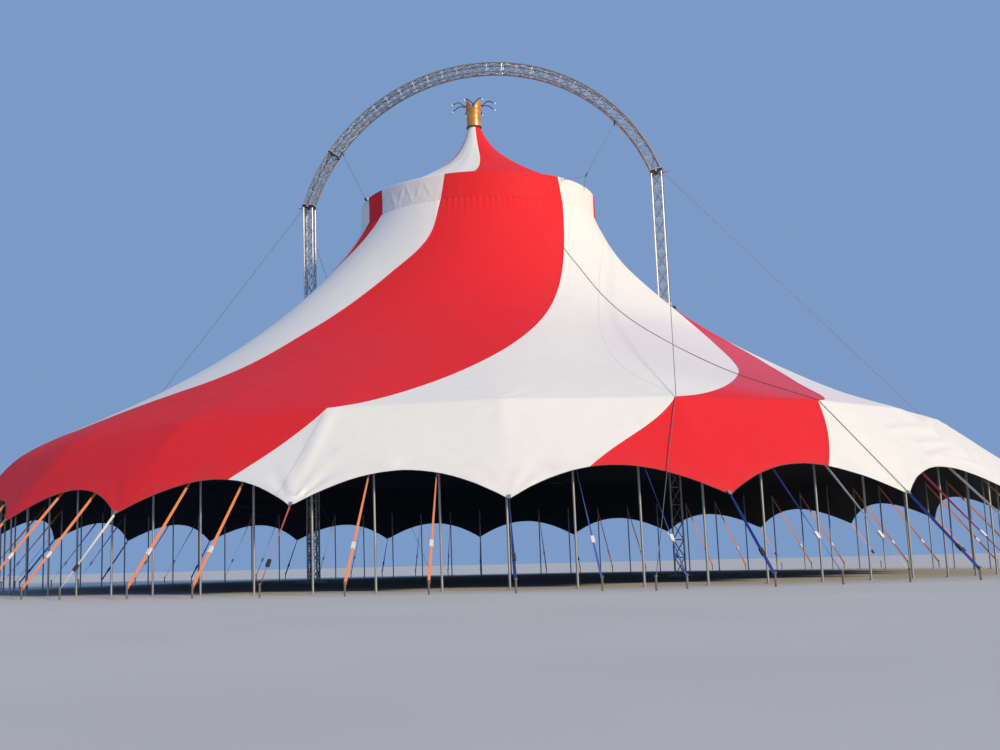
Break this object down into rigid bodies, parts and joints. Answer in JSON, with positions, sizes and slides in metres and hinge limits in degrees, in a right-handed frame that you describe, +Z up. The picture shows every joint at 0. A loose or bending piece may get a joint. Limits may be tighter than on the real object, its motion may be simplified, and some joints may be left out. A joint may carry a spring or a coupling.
{
  "type": "circus big top tent",
  "caption": "Round circus big top with a swirl of red and white panels, scalloped edge, cupola with gold crown and one lattice arch over the roof.",
  "frame": {"origin": "on the ground at the tent's axis, midway between the two legs of the arch", "axes": "+Z up; +X along the plane of the arch, towards its right leg as the picture shows it; +Y away from the pictured side"},
  "size_m": [35.1704, 34.7734, 17.1401],
  "materials": {
    "canvas_red": "satin coated cloth",
    "canvas_white": "satin coated cloth",
    "cupola_cloth": "satin coated cloth",
    "galvanised_steel": "dull galvanised",
    "gold_paint": "gloss gold paint",
    "black_wire": "satin black",
    "truss_metal": "dull mill finish",
    "wire_rope": "stranded, weathered",
    "dark_rope": "laid rope",
    "webbing": "woven webbing"
  },
  "bodies": {
    "root": {"canvas_front_1_red": "canvas_red", "canvas_front_2_white": "canvas_white", "canvas_front_3_red": "canvas_red", "canvas_front_4_white": "canvas_white", "canvas_front_5_red": "canvas_red", "canvas_front_6_white": "canvas_white", "canvas_back_1_red": "canvas_red", "canvas_back_2_white": "canvas_white", "canvas_back_3_red": "canvas_red", "canvas_back_4_white": "canvas_white", "canvas_back_5_red": "canvas_red", "canvas_back_6_white": "canvas_white", "cupola_wall": "cupola_cloth", "cupola_ring": "galvanised_steel", "cupola_cone": "cupola_cloth", "crown": "gold_paint", "crown_wires": "black_wire", "arch_leg_right": "truss_metal", "arch_span_right": "truss_metal", "arch_base_right": "galvanised_steel", "hoist_right": "wire_rope", "guys_right": "wire_rope", "arch_leg_left": "truss_metal", "arch_span_left": "truss_metal", "arch_base_left": "galvanised_steel", "hoist_left": "wire_rope", "guys_left": "wire_rope", "storm_rope_front": "dark_rope", "storm_rope_back": "dark_rope", "side_poles_1": "galvanised_steel", "edge_ties_1": "webbing", "side_poles_2": "galvanised_steel", "edge_ties_2": "webbing", "side_poles_3": "galvanised_steel", "edge_ties_3": "webbing", "side_poles_4": "galvanised_steel", "edge_ties_4": "webbing", "side_poles_5": "galvanised_steel", "edge_ties_5": "webbing", "side_poles_6": "galvanised_steel", "edge_ties_6": "webbing", "side_poles_7": "galvanised_steel", "edge_ties_7": "webbing", "side_poles_8": "galvanised_steel", "edge_ties_8": "webbing"}
  },
  "joints": []
}
